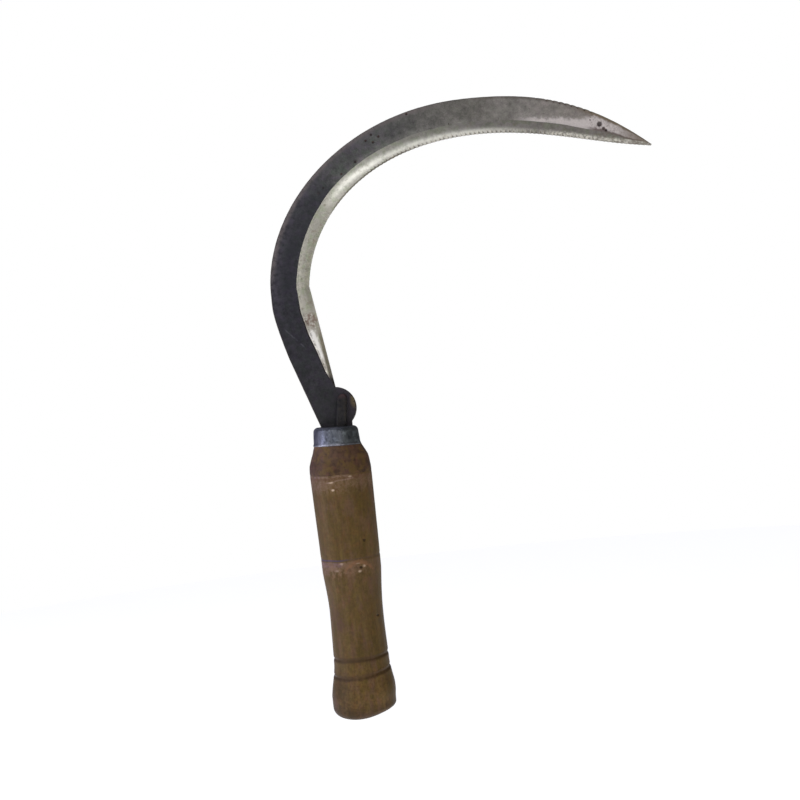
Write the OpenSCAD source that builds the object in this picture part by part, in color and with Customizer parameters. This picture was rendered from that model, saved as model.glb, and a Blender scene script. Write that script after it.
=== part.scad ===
// Hand sickle with a toothed, hooked blade, a forged tang, a drawn ferrule and a turned wooden handle.
// Millimetres. The origin is the middle of the grip, on the handle's axis. +Z runs along the handle
// to the blade, the hook opens towards +X, and the blade's ground face looks towards -Y.

/* [Blade] */
// Thickness of the plate at the heel
blade_t = 2; // [1.6:0.1:2.4]
// Thickness of the plate at the tip
tip_t = 1.4; // [1:0.1:1.6]
// Thickness left at the cutting edge
edge_t = 0.4; // [0.2:0.05:0.8]
// Width of the ground bevel where the toothed edge begins
bevel_w = 5.6; // [3:0.1:7]
// Width of the ground bevel on the upper left of the curve
bevel_mid_w = 6.7; // [3:0.1:8]
// Length of one tooth along the edge
tooth_pitch = 2.2; // [1.8:0.1:4]
// Depth of a tooth
tooth_depth = 0.45; // [0.1:0.05:0.8]
// Radius of the round ear at the heel
ear_r = 10.5; // [10.2:0.1:11]

/* [Tang] */
// Width of the tang bar across the blade's heel
tang_w = 5; // [4:0.1:5.2]
// Depth of the tang bar, front to back
tang_d = 4.5; // [3.5:0.1:4.6]
// Height of the welded lap above the ferrule
lap_h = 16.2; // [12:0.1:17]
// Depth of the spike below the ferrule's top
spike_depth = 90; // [50:1:110]
// Thickness of the blunt point of the spike
spike_end = 1.2; // [0.8:0.1:2]

/* [Ferrule] */
// Height of the ferrule
ferrule_h = 9.7; // [8:0.1:14]
// Outer radius at the ferrule's lower rim
ferrule_low_r = 12; // [11.8:0.05:12.3]
// Outer radius under the rounded upper rim
ferrule_top_r = 11.25; // [11:0.05:11.7]
// Radius of the rounded upper rim
ferrule_round = 2.2; // [1.5:0.1:2.4]
// Wall thickness of the drawn cup
ferrule_wall = 0.9; // [0.6:0.1:1.2]
// Radius of the hole that the tang passes through
ferrule_hole_r = 6.2; // [6.1:0.1:7]

/* [Handle] */
// Length of the wood from the butt to the ferrule's lower rim
grip_len = 133.5; // [125:0.5:150]
// Radius of the shoulder under the ferrule
shoulder_r = 12.5; // [12.4:0.1:13]
// Largest radius of the swell behind the ferrule
swell_r = 15.4; // [15.1:0.1:17]
// Radius of the waist
waist_r = 13.3; // [12:0.1:13.8]
// Radius of the bead at the butt
butt_r = 16.3; // [15.5:0.1:18]
// Length of the straight band round the bead
band_len = 5; // [4:0.5:8]
// Radius of the rounding at the butt's end
butt_round = 5.5; // [3:0.5:7]
// Depth of the two scribed grooves
groove_depth = 0.6; // [0.2:0.1:1]
// Width of the two scribed grooves
groove_w = 1.3; // [0.8:0.1:2]

/* [Hidden] */
$fn = 96;

// Heights of the joints between the pieces
butt_z = -grip_len / 2 + 0.25;
ferrule_low_z = butt_z + grip_len;
ferrule_top_z = ferrule_low_z + ferrule_h;
wood_top_z = ferrule_top_z - ferrule_wall;

// The tang's back face is the front face of the blade's heel
lap_y = tang_d / 2;
back_y = lap_y + blade_t;

// Blade outline as [x, height above the ferrule's top]. The back leans outwards by this slope.
heel_left = -7.1;
back_slope = -0.336;
heel_right = 8.5;
ear_centre = [1.0, 9.6];
ear_from = -44;
ear_to = 84;
ear_steps = 10;
ear_break = 0.3;
straight_top = 35.7;
corner = [-5.4, 71.6];
corner_back = [-24.8, 72.5];
crown_back = [81, 156.2];
crown_edge = [85, 137.9];
tip_back = [172.4, 123.4];
tip_edge = [172.4, 122.8];
ricasso_steps = 14;

// Round stretches of the outline, each a cubic curve
BACK_LOW = [[back_x(straight_top), straight_top], [-26, 60], [-25, 62], corner_back];
BACK_RISE = [corner_back, [-22, 115], [21.5, 156.2], crown_back];
BACK_FALL = [crown_back, [112, 156.2], [140.5, 151.5], tip_back];
EDGE_RISE = [corner, [-1.1, 106.8], [30.8, 137.9], crown_edge];
EDGE_FALL = [crown_edge, [118, 137.9], [142, 127.2], tip_edge];

// Spike stations: [depth below the ferrule's top, offset along X, share of the bar's size]
SPIKE = [[10.7, 1.3, 1], [24, 0.2, 0.94], [37, 0, 0.86]];
lap_x = 2.9;
lap_lean = 0.14;

function curve(p, t) =
    let (u = 1 - t)
    u * u * u * p[0] + 3 * u * u * t * p[1] + 3 * u * t * t * p[2] + t * t * t * p[3];

function back_x(h) = heel_left + back_slope * h;

// Heel: the round ear on the edge side and the straight back beside it
EAR = [for (i = [0:ear_steps])
    let (a = ear_from + (ear_to - ear_from) * i / ear_steps)
    ear_centre + ear_r * [cos(a), sin(a)]];
HEEL_EDGE = concat([[heel_right, 0]], EAR);
HEEL_BACK = [for (p = HEEL_EDGE) [back_x(p[1]), p[1]]];

// Ricasso: the plain stretch between the ear's notch and the first tooth
notch = EAR[ear_steps];
function back_at(h) =
    h < straight_top
    ? [back_x(h), h]
    : curve(BACK_LOW, (h - straight_top) / (corner[1] - straight_top));
RICASSO_EDGE = [for (i = [1:ricasso_steps]) notch + (corner - notch) * i / ricasso_steps];
RICASSO_BACK = [for (p = RICASSO_EDGE) back_at(p[1])];

// Toothed edge: u runs from 0 at the corner to 1 at the crown and 2 at the tip
function edge_at(u) = u < 1 ? curve(EDGE_RISE, u) : curve(EDGE_FALL, u - 1);
function back_at_u(u) = u < 1 ? curve(BACK_RISE, u) : curve(BACK_FALL, u - 1);
samples = 80;
function lengths(i, s) =
    i > samples
    ? []
    : let (d = i == 0 ? 0 : norm(edge_at(2 * i / samples) - edge_at(2 * (i - 1) / samples)))
      concat([[s + d, 2 * i / samples]], lengths(i + 1, s + d));
LENGTHS = lengths(0, 0);
edge_len = LENGTHS[samples][0];
teeth = round(edge_len / tooth_pitch);
CUT_U = [for (i = [1:2 * teeth]) min(2, lookup(edge_len * i / (2 * teeth), LENGTHS))];

// All stations from the base to the tip, with how far each is along the toothed edge
EDGE = concat(HEEL_EDGE, RICASSO_EDGE, [for (u = CUT_U) edge_at(u)]);
BACK = concat(HEEL_BACK, RICASSO_BACK, [for (u = CUT_U) back_at_u(u)]);
heel_count = len(HEEL_EDGE);
plain_count = heel_count + len(RICASSO_EDGE);
U = concat([for (i = [1:plain_count]) 0], CUT_U);
stations = len(EDGE);

// Unit vector across the blade at a station, from the edge towards the back
function across(i) =
    i == 0
    ? [-1, 0]
    : let (d = EDGE[min(i + 1, stations - 1)] - EDGE[i - 1])
      [-d[1], d[0]] / norm(d);

// Sizes of the section at each station
function width(i) = norm(BACK[i] - EDGE[i]);
function plate_t(i) = blade_t + (tip_t - blade_t) * U[i] / 2;
function full_bevel(i) =
    i < heel_count
    ? ear_break
    : i < plain_count
    ? lookup(EDGE[i][1], [[notch[1], ear_break], [26, 1.2], [58, 7], [corner[1], bevel_w]])
    : lookup(U[i], [[0, bevel_w], [0.6, bevel_mid_w], [2, bevel_w]]);
function bevel(i) = min(full_bevel(i), 0.45 * width(i));
function land(i) =
    i < heel_count
    ? plate_t(i) - ear_break
    : i < plain_count
    ? lookup(EDGE[i][1], [[notch[1], plate_t(i) - ear_break], [26, 1.4], [corner[1], edge_t]])
    : edge_t;
function tooth_cut(i) =
    i < plain_count || (i - plain_count) % 2 == 1 ? 0 : min(tooth_depth, 0.12 * width(i));

// The five corners of the section at a station
function point(p, y) = [p[0], y, p[1] + ferrule_top_z];
function section(i) =
    let (
        edge = EDGE[i] + tooth_cut(i) * across(i),
        shoulder = EDGE[i] + bevel(i) * across(i),
        front_y = back_y - plate_t(i)
    )
    [
        point(BACK[i], back_y),
        point(BACK[i], front_y),
        point(shoulder, front_y),
        point(edge, back_y - land(i)),
        point(edge, back_y)
    ];

// Closed skin over rings of the same number of points
module skin(rings) {
    n = len(rings[0]);
    last = (len(rings) - 1) * n;
    sides = [for (i = [0:len(rings) - 2], j = [0:n - 1])
        let (a = i * n + j, b = i * n + (j + 1) % n)
        each [[a, b, b + n], [a, b + n, a + n]]];
    start = [for (j = [1:n - 2]) [0, j + 1, j]];
    end = [for (j = [1:n - 2]) [last, last + j, last + j + 1]];
    polyhedron(points = [for (r = rings) each r], faces = concat(sides, start, end));
}

// Hooked plate with a ground bevel on its front, a toothed edge and a flat back
module blade() {
    color("#56575c")
        skin([for (i = [0:stations - 1]) section(i)]);
}

// One horizontal ring of the tang bar
function bar_ring(z, x, w, d) = [
    [x - w / 2, -d / 2, z],
    [x - w / 2, d / 2, z],
    [x + w / 2, d / 2, z],
    [x + w / 2, -d / 2, z]
];

// Forged bar: a lap with a round top on the blade's heel, and a tapered spike below it
module tang_bar() {
    lap_r = tang_w / 2;
    point_ring = [bar_ring(ferrule_top_z - spike_depth, 0, spike_end, spike_end)];
    spike_rings = [for (i = [len(SPIKE) - 1:-1:0])
        bar_ring(ferrule_top_z - SPIKE[i][0], SPIKE[i][1], SPIKE[i][2] * tang_w, SPIKE[i][2] * tang_d)];
    lap_rings = [for (a = [-1, 0, 18, 36, 54, 76])
        let (h = a < 0 ? 0 : lap_h - lap_r + lap_r * sin(a))
        bar_ring(ferrule_top_z + h, lap_x + lap_lean * h, tang_w * cos(max(a, 0)), tang_d)];
    skin(concat(point_ring, spike_rings, lap_rings));
}

module tang() {
    color("#5f544c") tang_bar();
}

// Quarter round from the wall to the flat top of the drawn cup, as [r, z]
function rim_round(r) =
    [for (a = [0:15:90])
        [ferrule_top_r - ferrule_round, ferrule_top_z - ferrule_round] + r * [cos(a), sin(a)]];

// Space inside the cup, which the wooden tenon fills
function cup_inside() = concat(
    [[ferrule_low_r - ferrule_wall, ferrule_low_z]],
    rim_round(ferrule_round - ferrule_wall)
);

// Drawn cup, turned in at the top, with a hole for the tang
module ferrule() {
    color("#a3a8a8")
        rotate_extrude()
            polygon(concat(
                [[ferrule_low_r, ferrule_low_z]],
                rim_round(ferrule_round),
                [[ferrule_hole_r, ferrule_top_z], [ferrule_hole_r, wood_top_z]],
                [for (i = [len(cup_inside()) - 1:-1:0]) cup_inside()[i]]
            ));
}

// Turned outline of the grip from the shoulder to the butt, as [r, z]
band_z = butt_z + butt_round;
SHOULDER = [[shoulder_r, ferrule_low_z], [13.9, ferrule_low_z - 3.5],
    [swell_r, ferrule_low_z - 7], [swell_r, 52]];
UPPER_GRIP = [[swell_r, 52], [swell_r - 0.2, 38], [14.9, 20], [14.65, 6]];
LOWER_GRIP = [[14.65, 6], [14.4, 1.5], [waist_r, -6.5], [waist_r, -15]];
WAIST = [[waist_r, -15], [waist_r, -24], [13.65, -33], [13.85, -40.5]];
BEAD = [[13.85, -40.5], [14.1, -45], [butt_r - 0.3, band_z + band_len + 4],
    [butt_r, band_z + band_len]];
grip_steps = 6;
function turned(p) = [for (i = [1:grip_steps]) curve(p, i / grip_steps)];
GRIP = concat(
    [SHOULDER[0]],
    turned(SHOULDER), turned(UPPER_GRIP), turned(LOWER_GRIP), turned(WAIST), turned(BEAD),
    [for (a = [0:15:90]) [butt_r - butt_round + butt_round * cos(a), band_z - butt_round * sin(a)]]
);

// Scribed groove round the handle, cut into wood of radius r at height z
module scribed_groove(r, z) {
    rotate_extrude()
        polygon([[r - groove_depth, z], [r + 1, z - groove_w], [r + 1, z + groove_w]]);
}

// Turned handle: tenon inside the cup, grip, and a socket burnt in by the tang
module handle() {
    groove_z = [-36.8, -45.7];
    groove_r = [13.74, 14.54];
    color("#7a5c38")
        difference() {
            rotate_extrude()
                polygon(concat(
                    [[0, butt_z], [0, wood_top_z]],
                    [for (i = [len(cup_inside()) - 1:-1:0]) cup_inside()[i]],
                    GRIP
                ));
            tang_bar();
            for (i = [0:1])
                scribed_groove(groove_r[i], groove_z[i]);
        }
}

blade();
tang();
ferrule();
handle();
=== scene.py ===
"""Looks of the hand sickle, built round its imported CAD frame.

Blade outlines are in millimetres as (x, height above the ferrule's top), as in the design.
Turned outlines are in millimetres as (radius, z). Meshes are written in metres.
"""

import math
import random

import bpy
import numpy as np
from mathutils import Euler, Matrix, Vector, noise


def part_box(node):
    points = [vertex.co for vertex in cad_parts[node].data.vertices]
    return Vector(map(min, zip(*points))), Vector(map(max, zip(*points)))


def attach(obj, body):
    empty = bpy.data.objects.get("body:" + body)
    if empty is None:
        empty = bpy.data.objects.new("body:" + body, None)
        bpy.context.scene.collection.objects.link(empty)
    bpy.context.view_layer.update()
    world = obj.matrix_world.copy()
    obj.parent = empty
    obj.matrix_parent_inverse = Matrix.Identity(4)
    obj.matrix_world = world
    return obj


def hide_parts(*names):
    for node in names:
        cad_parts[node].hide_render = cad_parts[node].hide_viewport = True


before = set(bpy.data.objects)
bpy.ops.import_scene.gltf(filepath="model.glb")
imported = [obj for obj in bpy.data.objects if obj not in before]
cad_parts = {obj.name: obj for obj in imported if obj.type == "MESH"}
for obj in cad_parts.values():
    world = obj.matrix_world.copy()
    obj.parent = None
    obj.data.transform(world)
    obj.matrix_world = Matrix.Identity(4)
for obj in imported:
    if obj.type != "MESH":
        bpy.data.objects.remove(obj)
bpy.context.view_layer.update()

MM = 0.001

# Places taken from the frame, in millimetres
FERRULE_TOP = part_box("blade")[0].z / MM
FRONT_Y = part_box("blade")[0].y / MM
BACK_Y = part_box("blade")[1].y / MM
FERRULE_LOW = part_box("ferrule")[0].z / MM
WOOD_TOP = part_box("handle")[1].z / MM
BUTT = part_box("handle")[0].z / MM
SPIKE_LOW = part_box("tang")[0].z / MM

# Blade outline
HEEL_LEFT = -7.1
BACK_SLOPE = -0.336
HEEL_RIGHT = 8.5
EAR_CENTRE = np.array([1.0, 9.6])
EAR_R = 10.5
EAR_FROM, EAR_TO = -44, 84
STRAIGHT_TOP = 35.7
CORNER = np.array([-5.4, 71.6])
CORNER_BACK = np.array([-24.8, 72.5])
CROWN_BACK = np.array([81, 156.2])
CROWN_EDGE = np.array([85, 137.9])
TIP_BACK = np.array([172.4, 123.4])
TIP_EDGE = np.array([172.4, 122.8])
BACK_LOW = [(HEEL_LEFT + BACK_SLOPE * STRAIGHT_TOP, STRAIGHT_TOP), (-26, 60), (-25, 62), CORNER_BACK]
BACK_RISE = [CORNER_BACK, (-22, 115), (21.5, 156.2), CROWN_BACK]
BACK_FALL = [CROWN_BACK, (112, 156.2), (140.5, 151.5), TIP_BACK]
EDGE_RISE = [CORNER, (-1.1, 106.8), (30.8, 137.9), CROWN_EDGE]
EDGE_FALL = [CROWN_EDGE, (118, 137.9), (142, 127.2), TIP_EDGE]

# Blade section
BLADE_T = BACK_Y - FRONT_Y
TIP_T = 1.4
EDGE_T = 0.4
EAR_BREAK = 0.3
BEVEL_W = 6.2
SPINE_ROUND = 0.35
# Bevel's width at heights of the ricasso, and at places from the corner (0) and the crown (1) to the tip (2)
PLAIN_WIDTHS = [(20, EAR_BREAK), (24, 1.2), (27, 2.5), (34, 3.6), (40, 4.6), (50, 6.4), (60, 7.2), (66, 6.9),
                (71.6, BEVEL_W)]
BEVEL_WIDTHS = [(0, BEVEL_W), (0.2, 6.5), (0.4, 6.9), (0.6, 6.9), (0.8, 6.6), (1.5, 5.7), (1.62, 4.9),
                (1.74, 4.5), (1.8, 3.6), (1.86, 2.3), (2, 1.2)]
TOOTH_PITCH = 2.2
TOOTH_NOTCH = 0.3
TOOTH_CUT = 0.3
TOOTH_REACH = 2.3
TOOTH_RAKE = 0.35
TOOTH_RISE = 0.75
# Shares of the blade's length between which its shoulder is blended, and where the plain edge's looks end
BLENDED_FROM, BLENDED_TO = 0.58, 0.76
PLAIN_END = (0.215, 0.195)
# Painted highlight streak on the bevel: how far from the edge it can run, and its half width
STREAK_REACH = 5
STREAK_HALF = 1.6

# Counts of the blade's stations and columns
BASE_STEPS = 4
EAR_STEPS = 34
RICASSO_STEPS = 60
CURVE_SAMPLES = 401
STATIONS_PER_TOOTH = 8
BACK_COLUMNS = 12
SPINE_COLUMNS = 4
BODY_COLUMNS = 30
BEVEL_COLUMNS = 14

# Marks in the blade's front: (x, height, radius, depth)
TIP_PITS = [(147.7, 136.1, 1.7, 0.45), (149.5, 133.7, 1.1, 0.3), (150.6, 132.7, 0.9, 0.25),
            (143.2, 138.6, 0.5, 0.12)]
SMITH_DOTS = [(30.6, 140.6, 0.8, 0.34), (33.6, 143.3, 0.8, 0.34), (34.2, 139.4, 0.8, 0.34),
              (37.2, 142.0, 0.8, 0.34)]
BODY_PITS = [(24.3, 130.6, 0.75, 0.16), (16.7, 125.4, 0.7, 0.15), (7.0, 119.4, 0.6, 0.13),
             (72.7, 144.3, 0.5, 0.1), (52.3, 151.6, 0.8, 0.16)]
SMUDGES = [(24.6, 130.9, 1.5, 0.03), (4.5, 117.0, 1.3, 0.02), (70.5, 143.2, 1.2, 0.02)]
# Nicks in the spine: (x, depth)
SPINE_NICKS = [(117.5, 0.16), (122.3, 0.2), (125.6, 0.24), (128.6, 0.3), (131.4, 0.3), (134.3, 0.34),
               (137.3, 0.3), (140.6, 0.32), (143.8, 0.22)]
NICK_HALF = 0.8

# Tang
TANG_W = 5.0
TANG_D = 4.5
LAP_H = 16.2
LAP_X = 2.9
LAP_LEAN = 0.14
LAP_THIN = 2.6
SPIKE_END = 1.2
# Spike: (depth below the ferrule's top, offset along X, share of the bar's size)
SPIKE = [(10.7, 1.3, 1.0), (24, 0.2, 0.94), (37, 0, 0.86)]
SEAT_GAP = 0.02
TANG_AROUND = 64

# Ferrule
CUP_LOW_R = 12.0
CUP_TOP_R = 11.25
CUP_ROUND = 2.5
CUP_WALL = 0.9
CUP_LIP = 0.9
HOLE_R = 6.2
# Worn seat: the ferrule's lift, its tilt, and how much more its lower end is lifted than its top
SEAT_LIFT = 0.5
SEAT_TILT = 0.04
SEAT_SHORT = 0.3

# Handle
SHOULDER_R = 12.5
SWELL_R = 15.4
WAIST_R = 13.3
BUTT_R = 16.3
BAND_LEN = 5
BUTT_ROUND = 5.5
BUTT_WEAR = 1.0
AROUND = 220
# Bend of the middle towards the edge side, and depth worn off each side of the shoulder: heights and sizes
BOW = ([-52, -44, -36, -20, -12, 0, 20, 40, 54, 62, 67],
       [0, 0.15, 0.25, 0.28, 0.45, 0.42, 0.4, 0.27, 0.15, 0.12, 0])
BACK_WEAR = ([52, 58.5, 61, 63.5, 67], [0, -0.2, 0.3, 0.8, 0.65])
EDGE_WEAR = ([52, 58, 62, 64.5, 66, 67], [0, -0.2, -0.5, -0.1, 0.1, 0.3])
# Scribed grooves and node rings: (height on the axis, rise towards +X, rise towards +Y)
GROOVES = [(-36.65, 0.2, 0.0), (-44.1, 0.95, 1.0)]
UPPER_RING = (53.5, -0.3, 0.0)
LOWER_RING = (12.4, -0.1, 0.0)
GROOVE_DEPTH = 0.4
GROOVE_HALF = 1.25
GROOVE_STAIN = 2.2
# Heights above the upper and the lower ring for the parts that show neither
UNDER_CUP = (20.0, 60.0)
ON_BUTT = (-100.0, -60.0)
# Dark specks on the front: (x, z, radius, depth)
SPECKS = [(8.3, 20.8, 1.0, 0.25), (10.7, -16.9, 0.9, 0.25), (0.8, -21.3, 0.7, 0.06), (1.1, -28.8, 0.6, 0.06),
          (-5.8, 2.5, 0.6, 0.06), (5.4, 8.0, 0.9, 0.3)]
# Pale flecks beside the node rings: (x, z, half width, half height, strength)
PALE_FLECKS = [(-4.3, 50.5, 1.6, 0.65, 0.6), (-3.7, 46.8, 1.1, 0.8, 0.8), (5.2, 52.6, 1.3, 0.7, 0.45),
               (-3.6, 10.6, 1.4, 0.85, 1.0), (7.2, 8.6, 1.2, 1.0, 0.7), (5.0, 6.3, 1.2, 0.85, 0.8),
               (4.5, 10.2, 1.6, 0.5, 0.5), (-6.0, 7.4, 1.6, 0.8, 0.35)]

# Slow waves round the handle's rings and grooves, in steps of noise
RING_WAVES = 2.2

# Camera, in metres, millimetres of lens and degrees
CAMERA_AT = (0.03342, -0.57175, 0.0867)
CAMERA_LENS = 51.75
CAMERA_ROLL = -6.33

# Studio floor, in millimetres
FLOOR_DROP = 140
FLOOR_RADII = (400, 800, 1200, 1600)
FLOOR_AROUND = 48


# ---------------- curves

def bezier(points, t):
    """Point on a cubic curve."""
    a, b, c, d = (np.asarray(p, float) for p in points)
    u = 1 - t
    return u ** 3 * a + 3 * u * u * t * b + 3 * u * t * t * c + t ** 3 * d


def unit(angle):
    """Point of the unit circle."""
    return np.array([math.cos(angle), math.sin(angle)])


def smooth(low, high, value):
    """0 at low, 1 at high, and a smooth step between them. low may be the larger."""
    t = min(1, max(0, (value - low) / (high - low)))
    return t * t * (3 - 2 * t)


def wave(seed, x, y=0, z=0):
    """Smooth noise from -1 to 1 at a place, in steps of about one unit."""
    return noise.noise(Vector((x + 17.3 * seed, y - 9.1 * seed, z + 3.7 * seed)))


# ---------------- meshes

def new_piece(name, points, faces, materials, face_material=None, values=None, sharp_angle=25):
    """A mesh object from points in millimetres, with named values on its points."""
    mesh = bpy.data.meshes.new(name)
    mesh.from_pydata([Vector(p) * MM for p in points], [], faces)
    for material in materials:
        mesh.materials.append(material)
    if face_material:
        mesh.polygons.foreach_set("material_index", face_material)
    for key, numbers in (values or {}).items():
        mesh.attributes.new(key, "FLOAT", "POINT").data.foreach_set("value", numbers)
    mesh.polygons.foreach_set("use_smooth", [True] * len(mesh.polygons))
    mesh.set_sharp_from_angle(angle=math.radians(sharp_angle))
    mesh.validate()
    piece = bpy.data.objects.new(name, mesh)
    bpy.context.scene.collection.objects.link(piece)
    return piece


def skin_faces(ring_count, size, ring_of_rings=False):
    """Quads over rings of the same size, closed by an n-gon at each end or back onto the first ring."""
    faces = []
    for i in range(ring_count if ring_of_rings else ring_count - 1):
        a, b = i * size, (i + 1) % ring_count * size
        faces += [(a + j, a + (j + 1) % size, b + (j + 1) % size, b + j) for j in range(size)]
    if not ring_of_rings:
        faces.append(tuple(reversed(range(size))))
        faces.append(tuple(range((ring_count - 1) * size, ring_count * size)))
    return faces


def point_values(rings, names):
    """The named values that ring points carry after their three coordinates."""
    return {name: [p[k] for ring in rings for p in ring] for k, name in enumerate(names, 3)}


def turns(count):
    """Angles of one turn in equal steps."""
    return [2 * math.pi * i / count for i in range(count)]


# ---------------- material nodes

def srgb(red, green, blue):
    """Linear colour from display values of 0 to 255."""
    def linear(v):
        v /= 255
        return v / 12.92 if v <= 0.04045 else ((v + 0.055) / 1.055) ** 2.4
    return (linear(red), linear(green), linear(blue), 1)


class Nodes:
    """Short calls for building the node tree of a material or a world."""

    def __init__(self, owner):
        owner.use_nodes = True
        self.tree = owner.node_tree
        self.tree.nodes.clear()

    def add(self, kind, inputs=None, **settings):
        node = self.tree.nodes.new("ShaderNode" + kind)
        for key, value in settings.items():
            setattr(node, key, value)
        for key, value in (inputs or {}).items():
            self.feed(node.inputs[key], value)
        return node

    def feed(self, socket, value):
        """Link a socket to another, or set its own value."""
        if isinstance(value, bpy.types.NodeSocket):
            self.tree.links.new(value, socket)
        else:
            socket.default_value = value

    def maths(self, operation, a, b=0.0):
        return self.add("Math", {0: a, 1: b}, operation=operation).outputs[0]

    def times(self, *factors):
        """Product of several values. A tuple is a value with the limits of a smooth step over it."""
        values = [self.between(*factor) if isinstance(factor, tuple) else factor for factor in factors]
        product = values[0]
        for value in values[1:]:
            product = self.maths("MULTIPLY", product, value)
        return product

    def value(self, name):
        """A value that the mesh carries on its points."""
        return self.add("Attribute", attribute_name=name).outputs["Fac"]

    def parts(self, vector):
        """X, Y and Z of a vector."""
        return self.add("SeparateXYZ", {"Vector": vector}).outputs[:3]

    def wander(self, value, ripple, reach):
        """A value moved by a noise, up to half of reach either way."""
        return self.maths("ADD", value, self.times(self.maths("SUBTRACT", ripple, 0.5), reach))

    def between(self, value, low, high, start=0.0, end=1.0):
        """Smooth step of value from low to high, giving start to end."""
        node = self.add("MapRange", {"Value": value, "From Min": low, "From Max": high, "To Min": start,
                                     "To Max": end}, interpolation_type="SMOOTHSTEP")
        return node.outputs["Result"]

    def band(self, value, low, high, soft):
        """1 where value is from low to high, fading to 0 over soft."""
        return self.times(self.between(value, low - soft, low), self.between(value, high, high + soft, 1, 0))

    def lines(self, value, middle, half):
        """1 along the contour of a noise at middle, fading to 0 at half either side."""
        return self.between(self.maths("ABSOLUTE", self.maths("SUBTRACT", value, middle)), half, 0)

    def ramp(self, value, stops):
        """Linear colours at places of a value."""
        node = self.add("ValToRGB", {"Fac": value})
        elements = node.color_ramp.elements
        while len(elements) < len(stops):
            elements.new(1)
        for element, (at, colour) in zip(elements, stops):
            element.position = at
            element.color = colour
        return node.outputs["Color"]

    def tones(self, value, stops):
        """Display colours at places of a value."""
        return self.ramp(value, [(at, srgb(*colour)) for at, colour in stops])

    def levels(self, value, stops):
        """Numbers at places of a value."""
        return self.ramp(value, [(at, (level, level, level, 1)) for at, level in stops])

    def mix(self, share, a, b, blend="MIX"):
        node = self.add("Mix", data_type="RGBA", blend_type=blend)
        self.feed(node.inputs["Factor"], share)
        self.feed(node.inputs[6], a)
        self.feed(node.inputs[7], b)
        return node.outputs[2]

    def over(self, under, colour, *shares):
        """A colour laid over another, by the product of shares. It is a node's output or display values."""
        top = srgb(*colour) if isinstance(colour, tuple) else colour
        return self.mix(self.times(*shares), under, top)

    def shaded(self, colour, ripple, low, high):
        """Colour times a grey that runs from low to high as a noise runs over its usual range."""
        grey = self.add("MapRange", {"Value": ripple, "From Min": 0.3, "From Max": 0.7, "To Min": low,
                                     "To Max": high}).outputs["Result"]
        return self.mix(1.0, colour, grey, "MULTIPLY")

    def bump(self, height, strength, distance):
        inputs = {"Height": height, "Strength": strength, "Distance": distance * MM}
        return self.add("Bump", inputs).outputs[0]


class Paint(Nodes):
    """Node tree of a material. spot is the place in millimetres, and base is the colour so far."""

    def __init__(self, name):
        self.material = bpy.data.materials.new(name)
        super().__init__(self.material)
        self.spot = self.place()
        self.base = None

    def place(self, along=1.0, turn=(0, 0, 0)):
        """Object coordinates in millimetres, turned. A small share along Z draws out what uses them."""
        coordinates = self.add("TexCoord").outputs["Object"]
        scale = (1 / MM, 1 / MM, along / MM)
        return self.add("Mapping", {"Vector": coordinates, "Rotation": turn, "Scale": scale}).outputs[0]

    def noise(self, scale, detail=3, rough=0.55, place=None):
        inputs = {"Vector": place or self.spot, "Scale": scale, "Detail": detail, "Roughness": rough}
        return self.add("TexNoise", inputs).outputs["Fac"]

    def drawn(self, along, scale, detail=3, rough=0.55):
        """Noise drawn out along the piece."""
        return self.noise(scale, detail, rough, self.place(along))

    def blob(self, x, z, half_x, half_z, soft=0.5):
        """1 inside an oval of the front view, fading to 0 from a share of its size."""
        moved = self.add("VectorMath", {0: self.spot, 1: (x, 0, z)}, operation="SUBTRACT").outputs[0]
        oval = {0: moved, 1: (1 / half_x, 0, 1 / half_z)}
        flat = self.add("VectorMath", oval, operation="MULTIPLY").outputs[0]
        far = self.add("VectorMath", {0: flat}, operation="LENGTH").outputs["Value"]
        return self.between(far, 1, soft)

    def stain(self, colour, *shares):
        """Lay a colour over the base, by the product of shares."""
        self.base = self.over(self.base, colour, *shares)

    def tint(self, factors, *shares):
        """Multiply the base's red, green and blue by factors, by the product of shares."""
        self.base = self.mix(self.times(*shares), self.base, (*factors, 1), "MULTIPLY")

    def shade(self, ripple, low, high):
        """Multiply the base by a grey that follows a noise."""
        self.base = self.shaded(self.base, ripple, low, high)

    def finish(self, **inputs):
        """The material, with the base as its colour and these inputs of its shader."""
        shader = self.add("BsdfPrincipled", {"Base Color": self.base})
        for key, value in inputs.items():
            self.feed(shader.inputs[key.replace("_", " ")], value)
        self.add("OutputMaterial", {"Surface": shader.outputs[0]})
        return self.material


# ---------------- steel of the blade and the tang

def forged_scale():
    """Blade body: bluish-black forge scale at the heel, worn to bare grey steel towards the tip, with
    painted reflection brightening it towards the tip.
    """
    n = Paint("forged_scale")
    along = n.value("along")
    across = n.value("across")
    cloud = n.noise(0.13, 4, 0.6)
    patches = n.noise(0.4, 4, 0.62)
    grain = n.noise(1.5, 4, 0.7)
    scale_tones(n, along, across, cloud, patches, grain)
    scale_patches(n, along, across, cloud, patches)
    tip_wear_and_highlight(n, along, across, cloud, patches, grain)
    scale_marks(n, patches)
    height = n.maths("ADD", n.times(grain, 0.7), n.noise(5, 2))
    return n.finish(Metallic=0.45, Roughness=n.between(patches, 0.3, 0.7, 0.4, 0.6),
                    Specular_IOR_Level=0.25, Normal=n.bump(height, 0.45, 0.05))


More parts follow.
